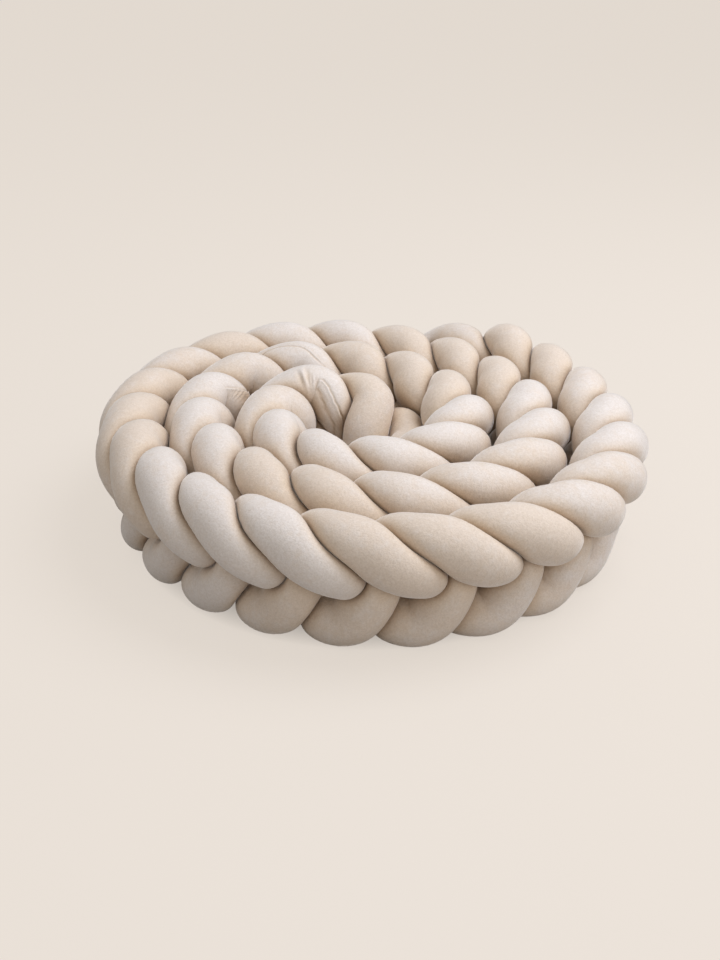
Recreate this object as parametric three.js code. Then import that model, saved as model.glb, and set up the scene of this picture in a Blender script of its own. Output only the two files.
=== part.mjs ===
// A braided cot bumper rolled up flat: three stuffed velvet tubes in a three-strand plait.
// The plait stands on its edge and is wound clockwise, seen from above, from its outer end at the
// back right to its inner end at the centre. Millimetres, +Z up, the roll stands on z = 0.
// Each tube is one solid. Its section is round where it is free, flat where it presses on a
// neighbour or on the surface beneath, and it closes in a short rounded end.
import * as THREE from "three";

// ---- the tubes ----
const TUBE_RADIUS = 31;
const SIDES = 8;
const RING_STEP_DEG = 30;
const CONTACT_GAP = 0.8;
const SOFTENING = 3;
const CAP_LENGTH = 34;
const CAP_STEPS = [0, 0.08, 0.3, 0.62];
const CAP_TIP_RADIUS = 7;

// ---- the plait: a strand rises, crosses and falls once in every three wraps ----
const STRANDS = 3;
const RISE = 56.5;
const SETTLE = 0.6;
const SWAY = 17;
const BASE_SWAY = 0.65;
const DIVE = 0.3;
const DIVE_TOP = 0.375;
const LOWEST_CENTRE = 25.5;
const LOWEST_PHASE_DEG = -96;
const TOP_PHASE_DEG = 90;
const WRAP_OUTER_END = 79.6;
const WRAP_INNER_END = 72;
const WRAP_MIDDLE_EXTRA = 9.8;
// These change round the roll: each is a middle value, a swing and the azimuth of its highest value.
const LEAN_DEG = { middle: 10.2, swing: 6.2, azimuthDeg: -58 };
const SET_BACK = { middle: 14, swing: 15.5, azimuthDeg: -160 };
const LAG = { middle: 2.5, swing: 8, azimuthDeg: -10 };
const CROSSING_LIFT = { middle: 6, swing: 13, azimuthDeg: -15 };
const MEAN_LEAN_DEG = 8;
// Share of the set-back that is left where a strand crosses back to the outer side. It is less in
// the upper half of the plait's outer turn, and changes to the rest over these wraps.
const SET_BACK_INNER = 0.6;
const SET_BACK_INNER_HIGH = -0.4;
const SET_BACK_CHANGE = 0.8;
const SET_BACK_CHANGE_WRAP = 14;
const SET_BACK_CHANGE_WRAPS = 9;
// Strand b's last wrap is drawn in toward the middle of the roll where it goes down.
const END_PULL = { strand: "strand_b", wrap: 46.85, reach: 0.85, x: -34, y: -12 };
// How much higher than the rest the wraps near the two ends lie.
const wrapLifts = [
  { wrap: -1, lift: -7 },
  { wrap: 0, lift: -7 },
  { wrap: 1, lift: 13 },
  { wrap: 2, lift: 6 },
  { wrap: 3, lift: 2 },
  { wrap: 4, lift: 0 },
  { wrap: 44, lift: 0 },
  { wrap: 45, lift: 6 },
  { wrap: 46, lift: -8 },
  { wrap: 47, lift: -52 },
  { wrap: 48, lift: -55 },
];

// ---- the winding in plan ----
const START_AZIMUTH_DEG = 64.8;
const START_RADIUS = 329;
const PITCH_OUTER = 79;
const PITCH_INNER = 97.6;
const TURNS = 3;
const OVAL_OUTER = 0.044;
const OVAL = 0.064;
const OVAL_FADE_TURN = 0.75;
const OVAL_FADE_TURNS = 0.4;
const OVAL_AZIMUTH_DEG = -53.4;
const CENTRE_START = { x: -14.52, y: -5.6 };
const CENTRE_MIDWAY = { x: -10, y: 25 };
const CENTRE_END = { x: -12, y: 15 };
const EASE_OUT = 32;
const EASE_TURNS = 0.42;
const EXTRA_TURN = 0.12;
const FIRST_WRAP = 0.18;

// ---- where each strand begins and ends: its phase before its first and after its last top wrap ----
const strandTable = [
  { name: "strand_a", firstTop: 0, lastTop: 45, startDeg: -20, endDeg: 340, tone: 0xe9dfd2 },
  { name: "strand_b", firstTop: 1, lastTop: 46, startDeg: -120, endDeg: 300, tone: 0xe6dacb },
  { name: "strand_c", firstTop: 2, lastTop: 47, startDeg: -190, endDeg: 200, tone: 0xebe3d8 },
];

// ---- how finely the winding and the strands are worked out ----
const TABLE_ROWS = 3000;
const TURN_BEFORE_START = 0.06;
const TURN_AFTER_END = 0.1;
const TURN_AHEAD = 0.002;
const PATH_STEP_DEG = 4;
const TANGENT_STEP_DEG = 2;
const OWN_STRAND_SKIP = 95;
const REACH = 80;
const EASING_PASSES = 40;
const EASING_SHARE = 0.97;
const TINY = 1e-6;
const UP = new THREE.Vector3(0, 0, 1);

function radians(degrees) {
  return (degrees * Math.PI) / 180;
}

function share01(value) {
  return Math.min(Math.max(value, 0), 1);
}

function eased(value) {
  const share = share01(value);
  return share * share * (3 - 2 * share);
}

// A value that swings round the roll, at an azimuth in radians.
function roundValue(swinging, azimuth) {
  return swinging.middle + swinging.swing * Math.cos(azimuth - radians(swinging.azimuthDeg));
}

// Middle line of the winding in plan, at a count of turns from the outer end.
function planPoint(turn) {
  const along = turn / TURNS;
  const azimuth = radians(START_AZIMUTH_DEG) - 2 * Math.PI * turn;
  const widening = ((PITCH_INNER - PITCH_OUTER) * turn * turn) / (2 * TURNS);
  const ease = share01((turn - (TURNS + EXTRA_TURN - EASE_TURNS)) / EASE_TURNS);
  const even = START_RADIUS - PITCH_OUTER * turn - widening + EASE_OUT * ease * ease;
  const fade = eased((turn - OVAL_FADE_TURN) / OVAL_FADE_TURNS);
  const oval = OVAL_OUTER + (OVAL - OVAL_OUTER) * fade;
  const radius = even * (1 + oval * Math.cos(2 * (azimuth - radians(OVAL_AZIMUTH_DEG))));
  const midShare = 4 * along * (1 - along);
  const endShare = along * (2 * along - 1);
  const point = new THREE.Vector2(CENTRE_START.x, CENTRE_START.y);
  point.x += CENTRE_MIDWAY.x * midShare + CENTRE_END.x * endShare + radius * Math.cos(azimuth);
  point.y += CENTRE_MIDWAY.y * midShare + CENTRE_END.y * endShare + radius * Math.sin(azimuth);
  return point;
}

// Length from one top wrap to the next, at a share of the plait's length.
function wrapSpacing(share) {
  const bulge = WRAP_MIDDLE_EXTRA * 4 * share * (1 - share);
  return WRAP_OUTER_END + (WRAP_INNER_END - WRAP_OUTER_END) * share + bulge;
}

// The middle line as rows of turn, length so far and wraps so far.
function windingTable() {
  const firstTurn = -TURN_BEFORE_START;
  const lastTurn = TURNS + EXTRA_TURN + TURN_AFTER_END;
  const rows = [];
  let length = 0;
  let before = planPoint(firstTurn);
  for (let i = 0; i <= TABLE_ROWS; i += 1) {
    const turn = firstTurn + ((lastTurn - firstTurn) * i) / TABLE_ROWS;
    const here = planPoint(turn);
    length += here.distanceTo(before);
    before = here;
    rows.push({ turn, length, wraps: 0 });
  }
  const start = rows.find((row) => row.turn >= 0);
  const end = rows.find((row) => row.turn >= TURNS + EXTRA_TURN);
  for (let i = 1; i <= TABLE_ROWS; i += 1) {
    const share = share01((rows[i].length - start.length) / (end.length - start.length));
    const step = rows[i].length - rows[i - 1].length;
    rows[i].wraps = rows[i - 1].wraps + step / wrapSpacing(share);
  }
  const offset = start.wraps + FIRST_WRAP;
  rows.forEach((row) => {
    row.wraps -= offset;
  });
  return rows;
}

const winding = windingTable();

// One column of the table at a value of another, read between two rows.
function lookUp(from, value, to) {
  let low = 0;
  let high = winding.length - 1;
  while (high - low > 1) {
    const middle = Math.floor((low + high) / 2);
    if (winding[middle][from] <= value) low = middle;
    else high = middle;
  }
  const share = (value - winding[low][from]) / (winding[high][from] - winding[low][from]);
  return winding[low][to] + (winding[high][to] - winding[low][to]) * share;
}

function liftAtWrap(wraps) {
  const after = wrapLifts.find((row) => row.wrap > wraps) ?? wrapLifts[wrapLifts.length - 1];
  const before = wrapLifts[Math.max(wrapLifts.indexOf(after) - 1, 0)];
  if (after === before) return after.lift;
  const share = eased((wraps - before.wrap) / (after.wrap - before.wrap));
  return before.lift + (after.lift - before.lift) * share;
}

// Middle of a strand at a phase in degrees, counted so that its first top wrap is at 90.
// It dives between its neighbours at phases 0 and 180, and lies on the surface round 270.
function strandPoint(strand, phaseDeg) {
  const wraps = strand.firstTop + ((phaseDeg - TOP_PHASE_DEG) * STRANDS) / 360;
  const azimuth = radians(START_AZIMUTH_DEG) - 2 * Math.PI * lookUp("wraps", wraps, "turn");
  const forward = Math.cos(radians(phaseDeg));
  const upward = Math.sin(radians(phaseDeg));
  const below = (1 - upward) / 2;
  const lower = eased(0.5 - upward / (2 * SET_BACK_CHANGE));
  const outer = 1 - share01((wraps - SET_BACK_CHANGE_WRAP) / SET_BACK_CHANGE_WRAPS);
  const high = (SET_BACK_INNER_HIGH - SET_BACK_INNER) * (1 - lower) * outer;
  const slant = (forward * (1 + forward) + (SET_BACK_INNER + high) * forward * (forward - 1)) / 2;
  const back = roundValue(SET_BACK, azimuth) * slant + roundValue(LAG, azimuth) * below;
  const turn = lookUp("length", lookUp("wraps", wraps, "length") - back, "turn");
  const here = planPoint(turn);
  const ahead = planPoint(turn + TURN_AHEAD).sub(here).normalize();
  if (strand.name === END_PULL.strand) {
    const pull = eased(1 - Math.abs(wraps - END_PULL.wrap) / END_PULL.reach);
    here.x += END_PULL.x * pull;
    here.y += END_PULL.y * pull;
  }
  const up = RISE * upward * (1 + SETTLE * forward * forward * below);
  const dive = 1 + (DIVE + DIVE_TOP * upward) * Math.cos(2 * radians(phaseDeg));
  const out = SWAY * Math.sin(2 * radians(phaseDeg)) * dive * (1 - (1 - BASE_SWAY) * below);
  const lean = radians(roundValue(LEAN_DEG, azimuth));
  const meanLean = radians(MEAN_LEAN_DEG);
  const lift = roundValue(CROSSING_LIFT, azimuth) * forward ** 4;
  const height = up * Math.cos(lean) - out * Math.sin(lean) + lift;
  const tuck = (up - RISE) * Math.sin(lean - meanLean);
  const outward = up * Math.sin(meanLean) + tuck + out * Math.cos(lean);
  const wrapLift = (liftAtWrap(wraps) * (height + RISE)) / (2 * RISE);
  return new THREE.Vector3(
    here.x - ahead.y * outward,
    here.y + ahead.x * outward,
    LOWEST_CENTRE + RISE * Math.cos(lean) + height + wrapLift,
  );
}

function lastPhase(strand) {
  return ((strand.lastTop - strand.firstTop) / STRANDS) * 360 + strand.endDeg;
}

// Finely spaced points along every strand, against which each section is cut back.
function finePath(strand) {
  const points = [];
  let run = 0;
  for (let phase = strand.startDeg; phase <= lastPhase(strand); phase += PATH_STEP_DEG) {
    const point = strandPoint(strand, phase);
    if (points.length > 0) run += point.distanceTo(points[points.length - 1].point);
    points.push({ point, phase, run });
  }
  return points;
}

const paths = strandTable.map(finePath);

// Path points near one place: those of its own stretch of strand, and those it may press on.
function neighbours(strandIndex, run, centre) {
  const own = [];
  const others = [];
  paths.forEach((path, index) => {
    path.forEach((item) => {
      if (item.point.distanceToSquared(centre) > REACH * REACH) return;
      const isOwn = index === strandIndex && Math.abs(item.run - run) < OWN_STRAND_SKIP;
      (isOwn ? own : others).push(item.point);
    });
  });
  return { own, others };
}

// Radius left in one direction before the plane half way to a neighbour.
function clearRadius(others, centre, direction) {
  let limit = REACH;
  const toward = new THREE.Vector3();
  others.forEach((point) => {
    toward.subVectors(point, centre);
    const share = toward.dot(direction);
    if (share > TINY) limit = Math.min(limit, toward.lengthSq() / (2 * share));
  });
  return limit - CONTACT_GAP / 2;
}

// Smooth lower value of two radii, so a flattened side meets the round side in a soft edge.
function softMinimum(first, second) {
  const mix = share01(0.5 + (second - first) / (2 * SOFTENING));
  const blended = second * (1 - mix) + first * mix - SOFTENING * mix * (1 - mix);
  return Math.min(blended, first, second);
}

// One section of a strand: its middle and, for each corner, a direction and a radius.
// Two of the corners face down, so that a wrap lies flat where it touches the surface.
function ring(strandIndex, phase, size) {
  const strand = strandTable[strandIndex];
  const centre = strandPoint(strand, phase);
  const tangent = strandPoint(strand, phase + TANGENT_STEP_DEG).sub(centre).normalize();
  const across = new THREE.Vector3().crossVectors(tangent, UP).normalize();
  const upward = new THREE.Vector3().crossVectors(across, tangent);
  const nearest = paths[strandIndex].reduce((best, item) => {
    return Math.abs(item.phase - phase) < Math.abs(best.phase - phase) ? item : best;
  });
  const near = neighbours(strandIndex, nearest.run, centre);
  const corners = [];
  for (let side = 0; side < SIDES; side += 1) {
    const angle = ((side + 0.5) * 2 * Math.PI) / SIDES;
    const direction = across.clone().multiplyScalar(Math.cos(angle));
    direction.addScaledVector(upward, Math.sin(angle));
    const radius = softMinimum(size, clearRadius(near.others, centre, direction));
    corners.push({ direction, radius });
  }
  return { centre, near, corners };
}

function cornerPoint(section, side) {
  const corner = section.corners[side];
  const point = section.centre.clone().addScaledVector(corner.direction, corner.radius);
  point.z = Math.max(point.z, 0);
  return point;
}

// Least distance from a place to a list of points.
function distanceTo(points, place) {
  let least = Infinity;
  points.forEach((point) => {
    least = Math.min(least, point.distanceToSquared(place));
  });
  return Math.sqrt(least);
}

// Draws in the corners of any facet that would lean over the plane half way to a neighbour.
function easeFacets(rings) {
  for (let pass = 0; pass < EASING_PASSES; pass += 1) {
    const drawnIn = new Set();
    for (let i = 0; i + 1 < rings.length; i += 1) {
      const own = rings[i].near.own.concat(rings[i + 1].near.own);
      const others = rings[i].near.others.concat(rings[i + 1].near.others);
      for (let side = 0; side < SIDES; side += 1) {
        const a = { section: rings[i], side };
        const b = { section: rings[i], side: (side + 1) % SIDES };
        const c = { section: rings[i + 1], side };
        const d = { section: rings[i + 1], side: (side + 1) % SIDES };
        const checks = [
          { from: a, to: c, share: 0.5 },
          { from: a, to: c, share: 0.25 },
          { from: c, to: a, share: 0.25 },
          { from: a, to: d, share: 0.5 },
          { from: a, to: d, share: 0.25 },
          { from: d, to: a, share: 0.25 },
          { from: a, to: b, share: 0.5 },
        ];
        checks.forEach(({ from, to, share }) => {
          const place = cornerPoint(from.section, from.side);
          place.lerp(cornerPoint(to.section, to.side), share);
          if (distanceTo(others, place) - distanceTo(own, place) >= CONTACT_GAP) return;
          drawnIn.add(from.section.corners[from.side]);
          if (share === 0.5) drawnIn.add(to.section.corners[to.side]);
        });
      }
    }
    drawnIn.forEach((corner) => {
      corner.radius *= EASING_SHARE;
    });
    if (drawnIn.size === 0) return;
  }
}

// Section size at a distance from a closed end.
function capSize(distance) {
  const share = share01(distance / CAP_LENGTH);
  return CAP_TIP_RADIUS + (TUBE_RADIUS - CAP_TIP_RADIUS) * Math.sqrt(share * (2 - share));
}

// Sections of one strand from its closed outer end to its closed inner end.
function strandRings(strandIndex) {
  const strand = strandTable[strandIndex];
  const path = paths[strandIndex];
  const length = path[path.length - 1].run;
  const phaseAt = (run) => path.find((item) => item.run >= run).phase;
  const rings = CAP_STEPS.map((step) => {
    const distance = step * CAP_LENGTH;
    return ring(strandIndex, phaseAt(distance), capSize(distance));
  });
  const bodyStart = phaseAt(CAP_LENGTH);
  const bodyEnd = phaseAt(length - CAP_LENGTH);
  const firstStep = Math.ceil((bodyStart - LOWEST_PHASE_DEG) / RING_STEP_DEG + 0.5) - 0.5;
  for (let phase = LOWEST_PHASE_DEG + firstStep * RING_STEP_DEG; phase < bodyEnd; ) {
    rings.push(ring(strandIndex, phase, TUBE_RADIUS));
    phase += RING_STEP_DEG;
  }
  CAP_STEPS.toReversed().forEach((step) => {
    const distance = step * CAP_LENGTH;
    rings.push(ring(strandIndex, phaseAt(length - distance), capSize(distance)));
  });
  easeFacets(rings);
  return rings;
}

// Skin of one strand with a flat fan over each end.
function strandGeometry(strandIndex) {
  const rings = strandRings(strandIndex);
  const positions = [];
  rings.forEach((section) => {
    for (let side = 0; side < SIDES; side += 1) positions.push(...cornerPoint(section, side));
  });
  const faces = [];
  for (let i = 0; i + 1 < rings.length; i += 1) {
    for (let side = 0; side < SIDES; side += 1) {
      const a = i * SIDES + side;
      const b = i * SIDES + ((side + 1) % SIDES);
      const c = a + SIDES;
      const d = b + SIDES;
      faces.push(a, d, b, a, c, d);
    }
  }
  const last = (rings.length - 1) * SIDES;
  for (let side = 1; side + 1 < SIDES; side += 1) {
    faces.push(0, side, side + 1);
    faces.push(last, last + side + 1, last + side);
  }
  const geometry = new THREE.BufferGeometry();
  geometry.setAttribute("position", new THREE.Float32BufferAttribute(positions, 3));
  geometry.setIndex(faces);
  geometry.computeVertexNormals();
  return geometry;
}

const part = new THREE.Group();
part.name = "braided_cot_bumper";
strandTable.forEach((strand, index) => {
  const material = new THREE.MeshStandardMaterial({
    color: strand.tone,
    roughness: 0.9,
    metalness: 0,
  });
  const mesh = new THREE.Mesh(strandGeometry(index), material);
  mesh.name = strand.name;
  part.add(mesh);
});

export default part;
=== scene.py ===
import math

import bpy
import numpy as np
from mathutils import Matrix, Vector
from mathutils.bvhtree import BVHTree


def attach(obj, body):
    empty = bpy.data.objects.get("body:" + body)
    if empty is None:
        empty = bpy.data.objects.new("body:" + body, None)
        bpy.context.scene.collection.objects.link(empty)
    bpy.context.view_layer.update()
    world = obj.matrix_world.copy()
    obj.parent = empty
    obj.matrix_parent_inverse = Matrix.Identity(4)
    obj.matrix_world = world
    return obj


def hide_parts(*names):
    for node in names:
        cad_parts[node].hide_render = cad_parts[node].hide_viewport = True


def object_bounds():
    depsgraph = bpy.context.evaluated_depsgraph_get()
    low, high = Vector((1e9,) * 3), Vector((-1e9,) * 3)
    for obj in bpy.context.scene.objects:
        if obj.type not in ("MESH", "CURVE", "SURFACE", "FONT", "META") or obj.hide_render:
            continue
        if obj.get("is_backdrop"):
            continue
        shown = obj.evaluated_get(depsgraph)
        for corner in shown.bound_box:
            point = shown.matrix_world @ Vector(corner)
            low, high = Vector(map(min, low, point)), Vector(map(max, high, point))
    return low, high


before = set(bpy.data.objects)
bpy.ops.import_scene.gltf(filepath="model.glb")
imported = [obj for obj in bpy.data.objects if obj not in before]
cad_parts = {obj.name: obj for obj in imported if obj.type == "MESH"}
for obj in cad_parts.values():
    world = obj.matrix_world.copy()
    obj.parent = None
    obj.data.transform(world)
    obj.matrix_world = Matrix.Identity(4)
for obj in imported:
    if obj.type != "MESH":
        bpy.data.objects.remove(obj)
cad_low, cad_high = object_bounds()
middle = (cad_low + cad_high) / 2

# ---- camera ----
# It looks down on the roll from the front, about a metre and a half away. There is no depth of field,
# and its shift only moves the roll a little within the view.
CAMERA_ELEVATION = math.radians(26.5)
CAMERA_DISTANCE = 1.56
CAMERA_LENS = 61.4
SENSOR_WIDTH = 36
CAMERA_SHIFT_X = 0.0042
CAMERA_SHIFT_Y = -0.0238
AIM_FROM_MIDDLE = (-0.01458, -0.00487, -0.00852)

camera_data = bpy.data.cameras.new("camera")
camera_data.sensor_fit = "HORIZONTAL"
camera_data.sensor_width = SENSOR_WIDTH
camera_data.lens = CAMERA_LENS
camera_data.shift_x = CAMERA_SHIFT_X
camera_data.shift_y = CAMERA_SHIFT_Y
camera = bpy.data.objects.new("camera", camera_data)
bpy.context.scene.collection.objects.link(camera)
camera.location = (
    middle.x + AIM_FROM_MIDDLE[0],
    middle.y + AIM_FROM_MIDDLE[1] - CAMERA_DISTANCE * math.cos(CAMERA_ELEVATION),
    middle.z + AIM_FROM_MIDDLE[2] + CAMERA_DISTANCE * math.sin(CAMERA_ELEVATION),
)
camera.rotation_euler = (math.pi / 2 - CAMERA_ELEVATION, 0, 0)
bpy.context.scene.camera = camera

# ---- the three stuffed tubes ----
# The bumper is three long tubes of velvet, stuffed with loose polyester, sewn shut at their ends and
# plaited. The plait stands on its edge and is rolled up. The tubes are alike, so all are made here.

# The plait is wound clockwise, seen from above, from its outer end at the back right. Its middle
# line is a spiral, slightly oval, whose centre drifts as the turns go in, and which tightens less at
# its inner end.
TURNS = 3
START_AZIMUTH = math.radians(64.8)
START_RADIUS = 0.329
PITCH_OUTER = 0.079
PITCH_INNER = 0.0976
OVAL = 0.064
OVAL_OUTER = 0.044
OVAL_FADE_TURN = 0.75
OVAL_FADE_TURNS = 0.4
OVAL_AZIMUTH = math.radians(-53.4)
CENTRE_START = np.array([-0.01452, -0.0056])
CENTRE_MIDWAY = np.array([-0.010, 0.025])
CENTRE_END = np.array([-0.012, 0.015])
EASE_OUT = 0.032
EASE_TURNS = 0.42
EXTRA_TURN = 0.12
TURN_STEP = 0.001
TURN_BEFORE_START = 0.06
TURN_AFTER_END = 0.1
WRAP_OUTER_END = 0.0796
WRAP_INNER_END = 0.072
WRAP_MIDDLE_EXTRA = 0.0098
FIRST_WRAP = 0.18


def eased(share):
    """A share from 0 to 1, changed gently at both ends."""
    return share * share * (3 - 2 * share)


def plan_points(turn):
    """Places on the plait's middle line, seen from above, at numbers of turns from its outer end."""
    along = (turn / TURNS)[:, None]
    azimuth = START_AZIMUTH - 2 * math.pi * turn
    widening = (PITCH_INNER - PITCH_OUTER) * turn**2 / (2 * TURNS)
    ease = np.clip((turn - (TURNS + EXTRA_TURN - EASE_TURNS)) / EASE_TURNS, 0, 1)
    radius = START_RADIUS - PITCH_OUTER * turn - widening + EASE_OUT * ease**2
    fade = np.clip((turn - OVAL_FADE_TURN) / OVAL_FADE_TURNS, 0, 1)
    oval = OVAL_OUTER + (OVAL - OVAL_OUTER) * eased(fade)
    radius = radius * (1 + oval * np.cos(2 * (azimuth - OVAL_AZIMUTH)))
    centre = CENTRE_START + CENTRE_MIDWAY * 4 * along * (1 - along)
    centre = centre + CENTRE_END * along * (2 * along - 1)
    return centre + radius[:, None] * np.stack([np.cos(azimuth), np.sin(azimuth)], 1)


# Places along the middle line, by turns, by length and by wraps, a wrap being one top lobe. Wraps lie
# further apart in the middle of the plait than at its ends.
table_turns = np.arange(-TURN_BEFORE_START, TURNS + EXTRA_TURN + TURN_AFTER_END, TURN_STEP)
steps = np.linalg.norm(np.diff(plan_points(table_turns), axis=0), axis=1)
table_lengths = np.concatenate([[0], np.cumsum(steps)])
start_length = np.interp(0, table_turns, table_lengths)
end_length = np.interp(TURNS + EXTRA_TURN, table_turns, table_lengths)
shares = np.clip((table_lengths - start_length) / (end_length - start_length), 0, 1)
spacing = WRAP_OUTER_END + (WRAP_INNER_END - WRAP_OUTER_END) * shares
spacing = spacing + WRAP_MIDDLE_EXTRA * 4 * shares * (1 - shares)
table_wraps = np.concatenate([[0], np.cumsum(steps / spacing[1:])])
table_wraps -= np.interp(0, table_turns, table_wraps) + FIRST_WRAP

# A strand goes over the plait, down through it, under it and up again, once in every three wraps. Its
# place in that round is its phase: 90 at a top and 270 at a bottom, with a crossing half way between.
# Some of these sizes swing round the roll, and the swing is greatest at the azimuth given.
STRANDS = 3
WRAPS = 48
# up and down from half way; in the lower half a strand has settled, so it lies lower than it would
RISE = 0.0565
LOWEST_CENTRE = 0.0255
SETTLE = 0.6
# how much higher than half way up the crossings lie
LIFT = 0.006
LIFT_SWING = 0.013
LIFT_AZIMUTH = math.radians(-15)
# sideways, and how much more sharply it goes near a crossing, most of all in the upper half; the lower
# half sways less
SWAY = 0.017
DIVE = 0.3
DIVE_TOP = 0.375
BASE_SWAY = 0.65
# crossings are set back along the plait, with the swing taken off; falling ones by a share of that,
# which is below nought only high up on the outer turn
BACK = 0.017
BACK_SWING = 0.019
BACK_AZIMUTH = math.radians(20)
BACK_FALLING = 0.6
BACK_FALLING_HIGH = -0.4
BACK_HIGH_FROM = 14
BACK_HIGH_OVER = 9
BACK_CHANGE = 0.8
# bottoms trail behind the tops
LAG = 0.0025
LAG_SWING = 0.008
LAG_AZIMUTH = math.radians(-10)
# the plait's wall leans outward
LEAN = math.radians(8)
LEAN_MORE = math.radians(2.2)
LEAN_SWING = math.radians(6.2)
LEAN_AZIMUTH = math.radians(-58)
# the wraps near the two ends lie higher or lower than the rest
LIFTED_WRAPS = np.array([-1, 0, 1, 2, 3, 4, 44, 45, 46, 47, 48])
WRAP_LIFTS = np.array([-0.007, -0.007, 0.013, 0.006, 0.002, 0, 0, 0.006, -0.008, -0.052, -0.055])
# the last wrap but one is drawn in toward the middle where it goes down
PULLED_STRAND = 1
PULLED_WRAP = 46.85
PULLED_REACH = 0.85
END_PULL = np.array([-0.034, -0.012])
TURN_AHEAD = 0.002


def wrap_lift(wraps):
    """How much higher than the rest a wrap lies."""
    before = np.clip(np.searchsorted(LIFTED_WRAPS, wraps, side="right") - 1, 0, len(LIFTED_WRAPS) - 2)
    first, second = LIFTED_WRAPS[before], LIFTED_WRAPS[before + 1]
    share = np.clip((wraps - first) / (second - first), 0, 1)
    return WRAP_LIFTS[before] + (WRAP_LIFTS[before + 1] - WRAP_LIFTS[before]) * eased(share)


def strand_points(first_top, phase):
    """Middle of a strand at phases in degrees, counted so that its first top wrap is at 90."""
    wraps = first_top + (phase - 90) * STRANDS / 360
    forward = np.cos(np.radians(phase))
    upward = np.sin(np.radians(phase))
    turn = np.interp(wraps, table_wraps, table_turns)
    azimuth = START_AZIMUTH - 2 * math.pi * turn

    # along the plait
    reach_back = BACK - BACK_SWING * np.cos(azimuth - BACK_AZIMUTH)
    lag = LAG + LAG_SWING * np.cos(azimuth - LAG_AZIMUTH)
    further_in = np.clip((wraps - BACK_HIGH_FROM) / BACK_HIGH_OVER, 0, 1)
    lower = eased(np.clip(0.5 - upward / (2 * BACK_CHANGE), 0, 1))
    falling = BACK_FALLING + (BACK_FALLING_HIGH - BACK_FALLING) * (1 - lower) * (1 - further_in)
    sheared = forward * (1 + forward) / 2 + falling * forward * (forward - 1) / 2
    back = reach_back * sheared + lag * (1 - upward) / 2
    length = np.interp(turn, table_turns, table_lengths) - back
    turn = np.interp(length, table_lengths, table_turns)
    here = plan_points(turn)
    ahead = plan_points(turn + TURN_AHEAD) - here
    ahead /= np.linalg.norm(ahead, axis=1)[:, None]
    if first_top == PULLED_STRAND:
        pull = np.clip(1 - abs(wraps - PULLED_WRAP) / PULLED_REACH, 0, 1)
        here = here + eased(pull)[:, None] * END_PULL

    # up and sideways, in a wall that leans
    up = RISE * upward * (1 + SETTLE * forward**2 * (1 - upward) / 2)
    dive = DIVE + DIVE_TOP * upward
    out = SWAY * np.sin(2 * np.radians(phase)) * (1 + dive * np.cos(2 * np.radians(phase)))
    out = out * (1 - (1 - BASE_SWAY) * (1 - upward) / 2)
    swing = LEAN_MORE + LEAN_SWING * np.cos(azimuth - LEAN_AZIMUTH)
    lean = LEAN + swing
    height = up * np.cos(lean) - out * np.sin(lean)
    height = height + (LIFT + LIFT_SWING * np.cos(azimuth - LIFT_AZIMUTH)) * forward**4
    outward = up * math.sin(LEAN) + (up - RISE) * np.sin(swing) + out * np.cos(lean)
    raised = wrap_lift(wraps) * (height + RISE) / (2 * RISE)
    return np.stack([
        here[:, 0] - ahead[:, 1] * outward,
        here[:, 1] + ahead[:, 0] * outward,
        LOWEST_CENTRE + RISE * np.cos(lean) + height + raised,
    ], 1)


# name, first and last top wraps, and the phases where it starts and ends, with those tops at 90
strand_table = [
    ("a", 0, 45, -20, 340),
    ("b", 1, 46, -120, 300),
    ("c", 2, 47, -190, 200),
]

RING_STEP = 0.0045
PHASE_STEP = 1.0
PHASE_AHEAD = 2


def even_steps(first_top, start, end, step):
    """Phases that lie evenly spaced along a strand, and its length up to each."""
    phase = np.arange(start, end + PHASE_STEP / 2, PHASE_STEP)
    points = strand_points(first_top, phase)
    run = np.concatenate([[0], np.cumsum(np.linalg.norm(np.diff(points, axis=0), axis=1))])
    count = int(run[-1] / step) + 1
    even = np.linspace(0, run[-1], count)
    return np.interp(even, run, phase), even


# Each ring's own directions, across and upward, are carried along the strand without a twist.
strands = []
for name, first_top, last_top, before, after in strand_table:
    last = (last_top - first_top) * 360 / STRANDS + after
    phase, run = even_steps(first_top, before, last, RING_STEP)
    centre = strand_points(first_top, phase)
    tangent = strand_points(first_top, phase + PHASE_AHEAD)
    tangent -= strand_points(first_top, phase - PHASE_AHEAD)
    tangent /= np.linalg.norm(tangent, axis=1)[:, None]
    across = np.cross(tangent, [0, 0, 1])
    for i in range(len(tangent)):
        if i:
            across[i] = across[i - 1] - tangent[i] * (across[i - 1] @ tangent[i])
        across[i] /= np.linalg.norm(across[i])
    upward = np.cross(across, tangent)
    strands.append({"name": name, "first_top": first_top, "phase": phase, "run": run, "centre": centre,
                    "across": across, "upward": upward})

# The section of a stuffed tube is round where it is free. Where it presses on a neighbour it lies flat
# half way between them, with rounded corners, and it bulges elsewhere to keep the velvet's girth.
SIDES = 48
FREE_RADIUS = 0.0275
FREE_MOST = 0.0315
GIRTH = 2 * math.pi * FREE_RADIUS
CORNER_RADIUS = 0.015
CORNER_MOST = 0.75
CONTACT_GAP = 0.0006
REACH = 0.085
OWN_SKIP = 0.095
CAP_LENGTH = 0.034
CAP_TIP = 0.007
FAR = 9.0
FACING_LEAST = 0.05
PLANE_FACING_LEAST = 1e-4
GIRTH_PASSES = 6
GIRTH_POWER = 0.9
BULGE_SMOOTH_RINGS = 9
BULGE_SMOOTH_REACH = 24
SHAPE_SMOOTH_RINGS = 0.8
SHAPE_SMOOTH_REACH = 2
CLOSE_FADE = 0.012

angles = (np.arange(SIDES) + 0.5) * 2 * math.pi / SIDES
cosines, sines = np.cos(angles), np.sin(angles)
between = np.cos(angles[:, None] - angles[None, :])
facing = between > FACING_LEAST


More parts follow.
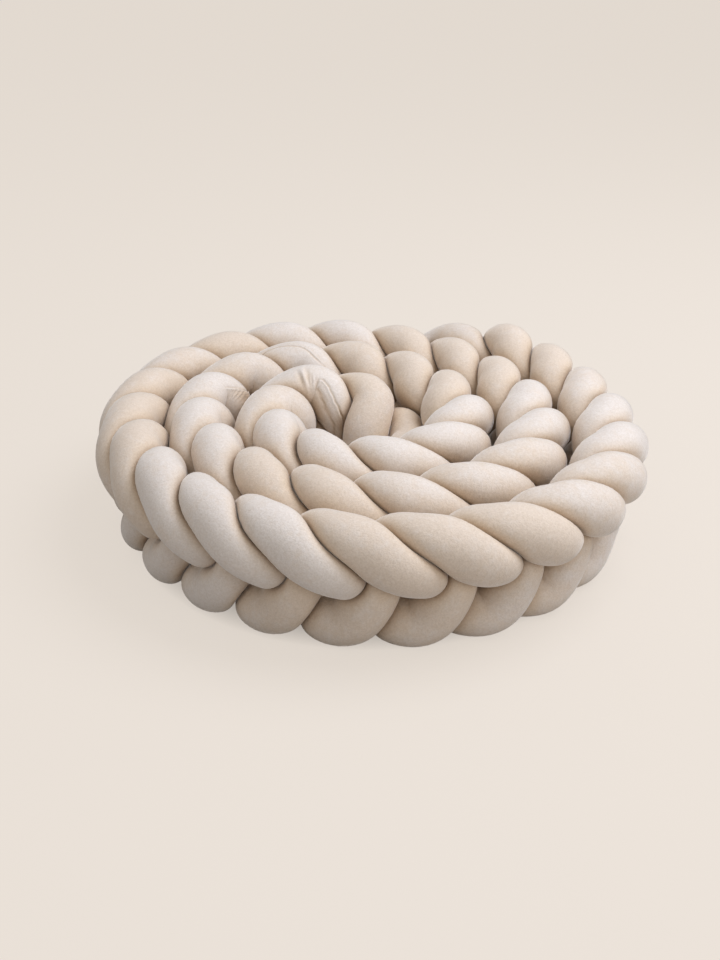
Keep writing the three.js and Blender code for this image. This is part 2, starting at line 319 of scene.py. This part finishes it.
def bell(reach, width):
    """Weights for smoothing along a strand, over so many rings to each side."""
    weights = np.exp(-0.5 * (np.arange(-reach, reach + 1) / width) ** 2)
    return weights / weights.sum()


def opened(limit, rounding):
    """The space inside limit, already shrunk by the rounding, grown again with round corners."""
    support = (limit[:, :, None] * between[None]).max(1) + rounding[:, None]
    ratio = np.where(facing[None], support[:, :, None] / np.maximum(between[None], FACING_LEAST), FAR)
    return ratio.min(1)


def girth(radius):
    """How far it is round each ring."""
    x, y = radius * cosines, radius * sines
    return np.hypot(np.roll(x, -1, 1) - x, np.roll(y, -1, 1) - y).sum(1)


all_points = np.concatenate([s["centre"] for s in strands])
all_index = np.concatenate([np.full(len(s["centre"]), i) for i, s in enumerate(strands)])
all_run = np.concatenate([s["run"] for s in strands])

for index, strand in enumerate(strands):
    count = len(strand["centre"])
    ends = np.minimum(strand["run"], strand["run"][-1] - strand["run"])
    share = np.clip(ends / CAP_LENGTH, 0, 1)
    cap = (CAP_TIP + (FREE_RADIUS - CAP_TIP) * np.sqrt(share * (2 - share))) / FREE_RADIUS
    # the planes half way to neighbours, and the floor: direction in the section, and distance
    planes = []
    for i in range(count):
        offset = all_points - strand["centre"][i]
        near = np.einsum("ij,ij->i", offset, offset) < REACH**2
        near &= ~((all_index == index) & (abs(all_run - strand["run"][i]) < OWN_SKIP))
        offset = offset[near]
        flat = np.stack([offset @ strand["across"][i], offset @ strand["upward"][i]], 1)
        size = np.hypot(flat[:, 0], flat[:, 1]) + 1e-9
        half = (offset**2).sum(1) / (2 * size)
        floor_direction = np.array([-strand["across"][i][2], -strand["upward"][i][2]])
        floor_size = np.hypot(*floor_direction)
        flat = np.concatenate([flat / size[:, None], [floor_direction / floor_size]])
        half = np.concatenate([half - CONTACT_GAP / 2, [strand["centre"][i][2] / floor_size]])
        planes.append((flat, half))
    limits = np.empty((count, SIDES))
    shrunk = np.empty((count, SIDES))
    rounding = np.empty(count)
    for i, (flat, half) in enumerate(planes):
        facing_planes = flat @ np.stack([cosines, sines])
        ok = facing_planes > PLANE_FACING_LEAST
        limits[i] = np.where(ok, half[:, None] / np.where(ok, facing_planes, 1), FAR).min(0)
        rounding[i] = min(CORNER_RADIUS, CORNER_MOST * limits[i].min()) * cap[i]
        shrunk[i] = np.where(ok, (half - rounding[i])[:, None] / np.where(ok, facing_planes, 1), FAR).min(0)
    # the bulge that keeps the girth
    free = FREE_RADIUS * np.ones(count)
    for _ in range(GIRTH_PASSES):
        target = free * cap
        radius = opened(np.minimum(shrunk, (target - rounding)[:, None]), rounding)
        want = GIRTH * cap
        have = girth(radius)
        free = np.clip(free * (want / have) ** GIRTH_POWER, FREE_RADIUS, FREE_MOST)
    kernel = bell(BULGE_SMOOTH_REACH, BULGE_SMOOTH_RINGS)
    free = np.convolve(np.pad(free, BULGE_SMOOTH_REACH, mode="edge"), kernel, mode="valid")
    target = free * cap
    radius = opened(np.minimum(shrunk, (target - rounding)[:, None]), rounding)
    kernel = bell(SHAPE_SMOOTH_REACH, SHAPE_SMOOTH_RINGS)
    longer = np.pad(radius, ((SHAPE_SMOOTH_REACH, SHAPE_SMOOTH_REACH), (0, 0)), mode="edge")
    radius = sum(kernel[k] * longer[k:k + count] for k in range(len(kernel)))
    radius = np.minimum(radius, limits)
    strand["radius"] = radius
    strand["limits"] = limits

# The rings are smoothed along the strand, and lie closer where a seam shows.
FINE_STEP = 0.0010
SMOOTH_RINGS = 1.5
# strand, top wrap, phases before and after its top where the rings lie closer
fine_zones = [("a", 45, -50, 110), ("a", 33, -20, 90), ("c", 35, -80, 70)]


def smoothed(values, rings):
    """Values smoothed along a strand."""
    reach = int(rings * 3) + 1
    weights = bell(reach, rings)
    longer = np.concatenate([np.repeat(values[:1], reach, 0), values, np.repeat(values[-1:], reach, 0)])
    return sum(weights[k] * longer[k:k + len(values)] for k in range(2 * reach + 1))


def curve_between(p0, p1, p2, p3, share):
    """A smooth curve from p1 to p2, which p0 and p3 lie before and after."""
    return 0.5 * (2 * p1 + (p2 - p0) * share + (2 * p0 - 5 * p1 + 4 * p2 - p3) * share**2
                  + (3 * p1 - p0 - 3 * p2 + p3) * share**3)


def between_rings(values, places):
    """Values at fractional ring numbers, on a smooth curve through the rings."""
    last = len(values) - 1
    low = np.clip(places.astype(int), 0, last - 1)
    share = (places - low).reshape((-1,) + (1,) * (values.ndim - 1))
    return curve_between(*(values[np.clip(low + k, 0, last)] for k in (-1, 0, 1, 2)), share)


for strand in strands:
    sections = (strand["centre"][:, None]
                + strand["across"][:, None] * (strand["radius"] * cosines)[:, :, None]
                + strand["upward"][:, None] * (strand["radius"] * sines)[:, :, None])
    ends = np.minimum(strand["run"], strand["run"][-1] - strand["run"])
    even = smoothed(sections, SMOOTH_RINGS)
    share = np.clip(ends / CAP_LENGTH, 0, 1)[:, None, None]
    sections = sections * (1 - share) + even * share
    sections[:, :, 2] = np.maximum(sections[:, :, 2], 0)
    step = np.ones(len(sections))
    for name, wrap, before, after in fine_zones:
        if name == strand["name"]:
            top = 90 + (wrap - strand["first_top"]) * 360 / STRANDS
            step[(strand["phase"] > top + before) & (strand["phase"] < top + after)] = FINE_STEP / RING_STEP
    counted = np.concatenate([[0], np.cumsum(1 / step[1:])])
    places = np.interp(np.linspace(0, counted[-1], int(counted[-1]) + 1), counted, np.arange(len(sections)))
    for key in ("centre", "across", "upward"):
        strand[key] = between_rings(strand[key], places)
    strand["phase"] = np.interp(places, np.arange(len(sections)), strand["phase"])
    strand["run"] = np.interp(places, np.arange(len(sections)), strand["run"])
    strand["sections"] = between_rings(sections, places)
    # how near a neighbour lies, which later sets painted shade
    closeness = np.exp(-(strand["limits"] - strand["radius"]) / CLOSE_FADE)
    strand["closeness"] = between_rings(closeness, places)

# Each tube is sewn along its length, and the seam is turned down out of sight except on three wraps.
# Its place is given by how far it is along the wrap from its top, and by the angle round the tube, up
# being 90. The points of each ring are packed toward the seam, so that its shape is fine enough.
SEAM_PACK = 0.24
SEAM_FADE = 0.02
GROOVE_SHADE = 0.0026
GROOVE_SHADE_MOST = 0.6
FLAP_RIBS_APART = 0.0042
GATHERS_APART = 0.0046
FOLDS_APART = 0.0037
FOLDS_SLANT = 0.2
FOLDS_DEEPER = 0.4
FOLDS_HEIGHT = 0.0022


def ridge(distance, at, width, height):
    """A ridge, or a groove where its height is below nought."""
    return height * np.exp(-(((distance - at) / width) ** 2))


def stretch_of(along, start, end, soft):
    """One between two places along a wrap, fading to nothing at both."""
    return np.clip((along - start) / soft, 0, 1) * np.clip((end - along) / soft, 0, 1)


def flap_shape(along, across):
    """The closing flap of the inner end: a strip beside its seam, after a pinch with small gathers."""
    ribs = np.cos(across / FLAP_RIBS_APART * 2 * math.pi)
    shape = stretch_of(along, start=0.007, end=0.082, soft=0.004) * (
        ridge(across, at=-0.0010, width=0.0011, height=0.0009)
        + ridge(across, at=0.0010, width=0.0013, height=-0.0016)
        + ridge(across, at=-0.0135, width=0.0022, height=-0.0016)
        + ribs * ridge(across, at=-0.007, width=0.005, height=-0.0004))
    pinch = (ridge(along, at=-0.0085, width=0.0019, height=0.0019)
             + ridge(along, at=-0.0125, width=0.0022, height=-0.0016)
             + ridge(along, at=-0.0045, width=0.0022, height=-0.0019))
    shape += pinch * ridge(across, at=0.007, width=0.013, height=1)
    step = (ridge(along, at=0.0065, width=0.0016, height=-0.0022)
            + ridge(along, at=0.0100, width=0.0020, height=0.0011))
    shape += step * ridge(across, at=-0.004, width=0.008, height=1)
    gathers = np.sin(along / GATHERS_APART * 2 * math.pi)
    gathers = gathers * stretch_of(along, start=-0.006, end=0.007, soft=0.003)
    return shape + gathers * ridge(across, at=0.002, width=0.006, height=0.0008)


def gathered_shape(along, across):
    """A seam over a row of small gathers, on the inner side of a bend."""
    shape = stretch_of(along, start=0.002, end=0.056, soft=0.012) * (
        ridge(across, at=-0.0012, width=0.0012, height=0.0009)
        + ridge(across, at=0.0008, width=0.0012, height=-0.0012))
    folds = np.cos((along - FOLDS_SLANT * across) / FOLDS_APART * 2 * math.pi) - FOLDS_DEEPER
    folds = folds * stretch_of(along, start=0.007, end=0.060, soft=0.018) * np.clip(-across / 0.003, 0, 1)
    return shape + folds * ridge(across, at=-0.005, width=0.011, height=FOLDS_HEIGHT)


def double_seam_shape(along, across):
    """Two rows of stitching side by side along the top of a wrap."""
    return stretch_of(along, start=-0.048, end=0.036, soft=0.01) * (
        ridge(across, at=0, width=0.0012, height=-0.0016)
        + ridge(across, at=0.0046, width=0.0012, height=-0.0010)
        + ridge(across, at=0.0022, width=0.0014, height=0.0004))


# strand, top wrap, shape, and the seam's places as pairs of how far along and the angle
seams = [
    ("a", 45, flap_shape,
     ((-0.020, 38), (0.006, 38), (0.013, 51), (0.024, 58), (0.033, 54), (0.041, 36), (0.047, 8),
      (0.056, -24), (0.068, -46), (0.082, -60))),
    ("a", 33, gathered_shape,
     ((-0.006, 20), (0.006, 27), (0.018, 39), (0.028, 57), (0.036, 68), (0.044, 66), (0.056, 60))),
    ("c", 35, double_seam_shape,
     ((-0.056, 74), (-0.036, 80), (-0.019, 80), (-0.009, 76), (0.000, 70), (0.009, 64),
      (0.018, 64), (0.027, 66), (0.040, 66))),
]

for name, wrap, seam_shape, seam in seams:
    strand = [each for each in strands if each["name"] == name][0]
    centre, sections = strand["centre"], strand["sections"]
    tangent = np.gradient(centre, axis=0)
    tangent /= np.linalg.norm(tangent, axis=1)[:, None]
    beside = np.cross(tangent, [0, 0, 1])
    beside /= np.linalg.norm(beside, axis=1)[:, None]
    turned = np.arctan2((beside * strand["upward"]).sum(1), (beside * strand["across"]).sum(1))
    top_run = np.interp(90 + (wrap - strand["first_top"]) * 360 / STRANDS, strand["phase"], strand["run"])
    along = strand["run"] - top_run
    seam_along, seam_angle = np.array(seam).T
    near = eased(stretch_of(along, seam_along[0] - SEAM_FADE, seam_along[-1] + SEAM_FADE, SEAM_FADE))
    for i in np.nonzero(near > 0)[0]:
        seam_at = math.radians(np.interp(along[i], seam_along, seam_angle)) + turned[i]
        off = (angles - seam_at + math.pi) % (2 * math.pi) - math.pi
        packed = SEAM_PACK * off + (1 - SEAM_PACK) * np.sign(off) * off**2 / math.pi
        places = (angles + near[i] * (packed - off)) * SIDES / (2 * math.pi) - 0.5
        low = np.floor(places).astype(int)
        share = (places - low)[:, None]
        for key in ("sections", "closeness"):
            values = strand[key][i].reshape(SIDES, -1)
            moved = curve_between(*(values[(low + k) % SIDES] for k in (-1, 0, 1, 2)), share)
            strand[key][i] = moved.reshape(strand[key][i].shape)
        outward = sections[i] - centre[i]
        size = np.linalg.norm(outward, axis=1)
        from_seam = (off + near[i] * (packed - off)) * size
        height = seam_shape(along[i], from_seam)
        sections[i] += outward / size[:, None] * height[:, None]
        # a groove's depth adds painted shade in it
        strand["closeness"][i] += np.clip(-height / GROOVE_SHADE, 0, GROOVE_SHADE_MOST)

# Stuffed tubes flatten against each other and never share space. Where two meet, each is pushed back
# by half of what they share, out of the other, a few times over.
APART = 0.0003
PRESSED_NEAR = 0.012
PRESSED_MOST = 0.005
PUSHES = 3


def closed_tube(sections):
    """Points and faces of a tube through its rings, closed at both ends."""
    count = len(sections)
    points = np.concatenate([sections.reshape(-1, 3), [sections[0].mean(0), sections[-1].mean(0)]])
    ring, side = np.meshgrid(np.arange(count - 1), np.arange(SIDES), indexing="ij")
    after = (side + 1) % SIDES
    quads = np.stack([ring * SIDES + side, (ring + 1) * SIDES + side,
                      (ring + 1) * SIDES + after, ring * SIDES + after], 2).reshape(-1, 4)
    side = np.arange(SIDES)
    after = (side + 1) % SIDES
    start_fan = np.stack([np.full(SIDES, count * SIDES), side, after], 1)
    base = (count - 1) * SIDES
    end_fan = np.stack([np.full(SIDES, count * SIDES + 1), base + after, base + side], 1)
    return points.tolist(), quads.tolist() + start_fan.tolist() + end_fan.tolist()


for _ in range(PUSHES):
    surfaces = []
    for strand in strands:
        surfaces.append(BVHTree.FromPolygons(*closed_tube(strand["sections"])))
    for index, strand in enumerate(strands):
        flat = strand["sections"].reshape(-1, 3)
        moved = np.zeros_like(flat)
        deepest = np.zeros(len(flat))
        for other, surface in enumerate(surfaces):
            if other == index:
                continue
            for number, point in enumerate(flat.tolist()):
                nearest, normal = surface.find_nearest(point, PRESSED_NEAR)[:2]
                if nearest is None:
                    continue
                depth = (nearest - Vector(point)).dot(normal) + APART
                if deepest[number] < depth < PRESSED_MOST:
                    deepest[number] = depth
                    moved[number] = normal * (depth / 2)
        strand["pushed"] = flat + moved
    for strand in strands:
        strand["sections"] = strand["pushed"].reshape(strand["sections"].shape)

# Each tube is one closed mesh, and nothing of it goes below what the roll lies on.
for strand in strands:
    sections = strand["sections"]
    sections[:, :, 2] = np.maximum(sections[:, :, 2], 0)
    points, faces = closed_tube(sections)
    mesh = bpy.data.meshes.new("velvet_strand_" + strand["name"])
    mesh.from_pydata(points, [], faces)
    mesh.update()
    piece = bpy.data.objects.new("velvet_strand_" + strand["name"], mesh)
    bpy.context.scene.collection.objects.link(piece)
    mesh.shade_smooth()
    strand["piece"] = piece

# The velvet is one beige cloth, with a painted sheen that makes it ivory on the wraps where its pile lies
# toward the light, and half so on some others. One point attribute holds that painted sheen, and another
# how near a neighbour or a groove is, which sets painted shade.
# wraps painted ivory as sheen, and wraps painted half so
SHEEN_LIT_WRAPS = (4, 5, 11, 12, 13, 19, 20, 24, 25, 31, 32, 33, 35, 39, 40, 41, 42, 43, 45)
HALF_SHEEN_LIT_WRAPS = (0, 3, 6, 7, 17, 26, 27, 28, 34, 44)
SHEEN_SMOOTH_RINGS = 7
SHEEN_SMOOTH_REACH = 14
CREASE_SHADE_SMOOTH_RINGS = 1.5
wrap_sheen = np.zeros(WRAPS + 2)
wrap_sheen[list(SHEEN_LIT_WRAPS)] = 1
wrap_sheen[list(HALF_SHEEN_LIT_WRAPS)] = 0.5

for strand in strands:
    mesh = strand["piece"].data
    # each wrap's painted sheen, smoothed along the strand, is kept on every point
    wraps = strand["first_top"] + (strand["phase"] - 90) * STRANDS / 360
    nearest = strand["first_top"] + STRANDS * np.round((wraps - strand["first_top"]) / STRANDS)
    stepped = wrap_sheen[np.clip(nearest, 0, WRAPS + 1).astype(int)]
    longer = np.pad(stepped, SHEEN_SMOOTH_REACH, mode="edge")
    stepped = np.convolve(longer, bell(SHEEN_SMOOTH_REACH, SHEEN_SMOOTH_RINGS), mode="valid")
    tone = np.concatenate([np.repeat(stepped, SIDES), [stepped[0], stepped[-1]]])
    attribute = mesh.attributes.new("nap_sheen", "FLOAT", "POINT")
    attribute.data.foreach_set("value", tone.astype(np.float32))
    # nearness of neighbours and grooves, smoothed, for painted shade
    closeness = smoothed(strand["closeness"], CREASE_SHADE_SMOOTH_RINGS).ravel()
    closeness = np.clip(np.concatenate([closeness, [0, 0]]), 0, 1)
    attribute = mesh.attributes.new("crease_shade", "FLOAT", "POINT")
    attribute.data.foreach_set("value", closeness.astype(np.float32))

# The pile is short, matt and a little glossy at its edges, with brushed patches, a soft mottle, single
# tufts and a fine grain. Where tubes press together a warm painted shade is mixed into its colour, and a
# dark painted shade where they touch.
BEIGE = (0.77, 0.664, 0.573)
IVORY_SHEEN = (0.81, 0.75, 0.715)
CREASE_SHADE_COLOUR = (0.74, 0.575, 0.40, 1)
TOUCH_SHADE_COLOUR = (0.30, 0.19, 0.12, 1)
TUFT_SHADE = (0.95, 0.935, 0.91)
GRAIN_SHADE = (0.87, 0.855, 0.84)
WHITE = (1, 1, 1)
ROUGHNESS = 0.8
GLOSS = 0.25
SHEEN = 0.85
SHEEN_ROUGHNESS = 0.35
SHEEN_COLOUR = (1.0, 0.98, 0.96, 1)
BRUSHED_AMOUNT = 1.5
MOTTLE_AMOUNT = 1.1
MOTTLE_HEIGHT = 1.5
CREASE_SHADE_AMOUNT = 0.8
TOUCH_SHADE_POWER = 4.5
TOUCH_SHADE_AMOUNT = 0.7
PILE_STRENGTH = 0.4
PILE_LENGTH = 0.001

velvet = bpy.data.materials.new("velvet")
velvet.use_nodes = True
nodes, links = velvet.node_tree.nodes, velvet.node_tree.links
shader = nodes["Principled BSDF"]
shader.inputs["Roughness"].default_value = ROUGHNESS
shader.inputs["Specular IOR Level"].default_value = GLOSS
shader.inputs["Sheen Weight"].default_value = SHEEN
shader.inputs["Sheen Roughness"].default_value = SHEEN_ROUGHNESS
shader.inputs["Sheen Tint"].default_value = SHEEN_COLOUR

place = nodes.new("ShaderNodeTexCoord")
nap_sheen = nodes.new("ShaderNodeAttribute")
nap_sheen.attribute_name = "nap_sheen"


def noise(scale, detail, roughness):
    """Soft random patches, the smaller the greater the scale."""
    node = nodes.new("ShaderNodeTexNoise")
    node.inputs["Scale"].default_value = scale
    node.inputs["Detail"].default_value = detail
    node.inputs["Roughness"].default_value = roughness
    links.new(place.outputs["Object"], node.inputs["Vector"])
    return node.outputs["Fac"]


def math_node(operation, first, second):
    """One sum on two values, each a number or another node's."""
    node = nodes.new("ShaderNodeMath")
    node.operation = operation
    for socket, value in zip(node.inputs, (first, second)):
        if isinstance(value, (int, float)):
            socket.default_value = value
        else:
            links.new(value, socket)
    return node.outputs[0]


def mixed(blend, factor, first, second):
    """Two colours mixed."""
    node = nodes.new("ShaderNodeMix")
    node.data_type = "RGBA"
    node.blend_type = blend
    for name, value in (("Factor", factor), ("A", first), ("B", second)):
        socket = [each for each in node.inputs if each.name == name and each.enabled][0]
        if isinstance(value, (tuple, float, int)):
            socket.default_value = value
        else:
            links.new(value, socket)
    return [each for each in node.outputs if each.enabled][0]


def ramp(factor, *stops):
    """Colours by a value, between stops."""
    node = nodes.new("ShaderNodeValToRGB")
    elements = node.color_ramp.elements
    while len(elements) < len(stops):
        elements.new(0.5)
    for element, (position, colour) in zip(elements, stops):
        element.position = position
        element.color = (*colour, 1)
    links.new(factor, node.inputs["Fac"])
    return node.outputs["Color"]


crease_shade = nodes.new("ShaderNodeAttribute")
crease_shade.attribute_name = "crease_shade"
brushed = noise(scale=30, detail=3, roughness=0.55)
mottle = noise(scale=120, detail=4, roughness=0.65)
tufts = noise(scale=280, detail=2, roughness=0.6)
grain = noise(scale=520, detail=3, roughness=0.7)
brush_share = math_node("MULTIPLY", math_node("SUBTRACT", brushed, 0.5), BRUSHED_AMOUNT)
mottle_share = math_node("MULTIPLY", math_node("SUBTRACT", mottle, 0.5), MOTTLE_AMOUNT)
# beige to ivory: the painted sheen of each wrap, with random brushed patches and mottle
tone = math_node("ADD", math_node("ADD", nap_sheen.outputs["Fac"], brush_share), mottle_share)
pile = ramp(tone, (0.0, BEIGE), (1.0, IVORY_SHEEN))
# a warm painted shade where tubes press together, and a dark painted shade where they touch
crease_shade_share = math_node("MULTIPLY", crease_shade.outputs["Fac"], CREASE_SHADE_AMOUNT)
pile = mixed("MIX", crease_shade_share, pile, CREASE_SHADE_COLOUR)
touch_shade_share = math_node("MULTIPLY", math_node("POWER", crease_shade.outputs["Fac"], TOUCH_SHADE_POWER), TOUCH_SHADE_AMOUNT)
pile = mixed("MIX", touch_shade_share, pile, TOUCH_SHADE_COLOUR)
pile = mixed("MULTIPLY", 1.0, pile, ramp(tufts, (0.36, TUFT_SHADE), (0.64, WHITE)))
pile = mixed("MULTIPLY", 1.0, pile, ramp(grain, (0.28, GRAIN_SHADE), (0.62, WHITE)))
links.new(pile, shader.inputs["Base Color"])
bump = nodes.new("ShaderNodeBump")
bump.inputs["Strength"].default_value = PILE_STRENGTH
bump.inputs["Distance"].default_value = PILE_LENGTH
pile_height = math_node("ADD", grain, math_node("MULTIPLY", mottle, MOTTLE_HEIGHT))
links.new(pile_height, bump.inputs["Height"])
links.new(bump.outputs["Normal"], shader.inputs["Normal"])

for strand in strands:
    strand["piece"].data.materials.append(velvet)
    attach(strand["piece"], "root")
    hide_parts("strand_" + strand["name"])

# ---- floor ----
# A plain pale floor. It throws back more light than it shows. Seen by the camera it glows, except in
# the middle of the roll, so that the roll's shadow on it stays faint.
FLOOR_SIZE = 60
FLOOR_COLOUR = (0.83, 0.76, 0.69)
FLOOR_ROUGHNESS = 0.95
FLOOR_SEEN = 0.2
FLOOR_BOUNCE = 0.5
FLOOR_GLOW = 0.8
GLOW_STARTS = 0.2
GLOW_FULL = 0.3

bpy.ops.mesh.primitive_plane_add(size=FLOOR_SIZE, location=(0, 0, 0))
floor = bpy.context.object
floor.name = "floor"
floor_material = bpy.data.materials.new("floor")
floor_material.use_nodes = True
floor_nodes, floor_links = floor_material.node_tree.nodes, floor_material.node_tree.links
floor_shader = floor_nodes["Principled BSDF"]
floor_shader.inputs["Roughness"].default_value = FLOOR_ROUGHNESS
floor_shader.inputs["Specular IOR Level"].default_value = 0.0
floor_shader.inputs["Emission Color"].default_value = (*FLOOR_COLOUR, 1)
light_path = floor_nodes.new("ShaderNodeLightPath")
seen_colour = floor_nodes.new("ShaderNodeMix")
seen_colour.data_type = "RGBA"
seen_colour.inputs["A"].default_value = (*(FLOOR_BOUNCE * v for v in FLOOR_COLOUR), 1)
seen_colour.inputs["B"].default_value = (*(FLOOR_SEEN * v for v in FLOOR_COLOUR), 1)
floor_links.new(light_path.outputs["Is Camera Ray"], seen_colour.inputs["Factor"])
floor_links.new(seen_colour.outputs["Result"], floor_shader.inputs["Base Color"])
seen_glow = floor_nodes.new("ShaderNodeMath")
seen_glow.operation = "MULTIPLY"
seen_glow.inputs[1].default_value = FLOOR_GLOW
floor_place = floor_nodes.new("ShaderNodeTexCoord")
from_middle = floor_nodes.new("ShaderNodeVectorMath")
from_middle.operation = "LENGTH"
floor_links.new(floor_place.outputs["Object"], from_middle.inputs[0])
outside = floor_nodes.new("ShaderNodeMapRange")
outside.inputs["From Min"].default_value = GLOW_STARTS
outside.inputs["From Max"].default_value = GLOW_FULL
floor_links.new(from_middle.outputs["Value"], outside.inputs["Value"])
seen_outside = floor_nodes.new("ShaderNodeMath")
seen_outside.operation = "MULTIPLY"
floor_links.new(light_path.outputs["Is Camera Ray"], seen_outside.inputs[0])
floor_links.new(outside.outputs["Result"], seen_outside.inputs[1])
floor_links.new(seen_outside.outputs[0], seen_glow.inputs[0])
floor_links.new(seen_glow.outputs[0], floor_shader.inputs["Emission Strength"])
floor.data.materials.append(floor_material)
floor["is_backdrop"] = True

# ---- light ----
# A weak even light all round, one large soft light high on the right, and a weak broad one low on the
# right in front. What the camera sees beyond the floor has the floor's colour.
FILL_COLOUR = (1.0, 0.975, 0.94, 1)
FILL_STRENGTH = 0.56
BEYOND_STRENGTH = 0.94
KEY_AZIMUTH = math.radians(5)
KEY_ELEVATION = math.radians(61)
KEY_DISTANCE = 2.3
KEY_SIZE = 1.7
KEY_POWER = 33.6
KEY_COLOUR = (0.965, 1.0, 1.09)
FRONT_AZIMUTH = math.radians(-38)
FRONT_ELEVATION = math.radians(12)
FRONT_DISTANCE = 1
FRONT_SPREAD = math.radians(35)
FRONT_STRENGTH = 0.5
FRONT_COLOUR = (1.0, 0.97, 0.93)

bpy.context.scene.view_settings.view_transform = "Standard"
world = bpy.data.worlds.new("studio")
bpy.context.scene.world = world
world.use_nodes = True
world_nodes, world_links = world.node_tree.nodes, world.node_tree.links
fill_light = world_nodes["Background"]
fill_light.inputs["Color"].default_value = FILL_COLOUR
fill_light.inputs["Strength"].default_value = FILL_STRENGTH
beyond = world_nodes.new("ShaderNodeBackground")
beyond.inputs["Color"].default_value = (*FLOOR_COLOUR, 1)
beyond.inputs["Strength"].default_value = BEYOND_STRENGTH
world_path = world_nodes.new("ShaderNodeLightPath")
world_mix = world_nodes.new("ShaderNodeMixShader")
world_links.new(world_path.outputs["Is Camera Ray"], world_mix.inputs["Fac"])
world_links.new(fill_light.outputs[0], world_mix.inputs[1])
world_links.new(beyond.outputs[0], world_mix.inputs[2])
world_links.new(world_mix.outputs[0], world_nodes["World Output"].inputs["Surface"])


def aimed_light(name, kind, azimuth, elevation, distance):
    """A light's settings, once it is placed round the origin and turned toward it."""
    light = bpy.data.objects.new(name, bpy.data.lights.new(name, kind))
    bpy.context.scene.collection.objects.link(light)
    light.location = (
        distance * math.cos(elevation) * math.cos(azimuth),
        distance * math.cos(elevation) * math.sin(azimuth),
        distance * math.sin(elevation),
    )
    light.rotation_euler = (-light.location).to_track_quat("-Z", "Y").to_euler()
    return light.data


key = aimed_light("key", "AREA", KEY_AZIMUTH, KEY_ELEVATION, KEY_DISTANCE)
key.shape = "DISK"
key.size = KEY_SIZE
key.energy = KEY_POWER
key.color = KEY_COLOUR
front = aimed_light("front", "SUN", FRONT_AZIMUTH, FRONT_ELEVATION, FRONT_DISTANCE)
front.angle = FRONT_SPREAD
front.energy = FRONT_STRENGTH
front.color = FRONT_COLOUR

low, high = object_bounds()
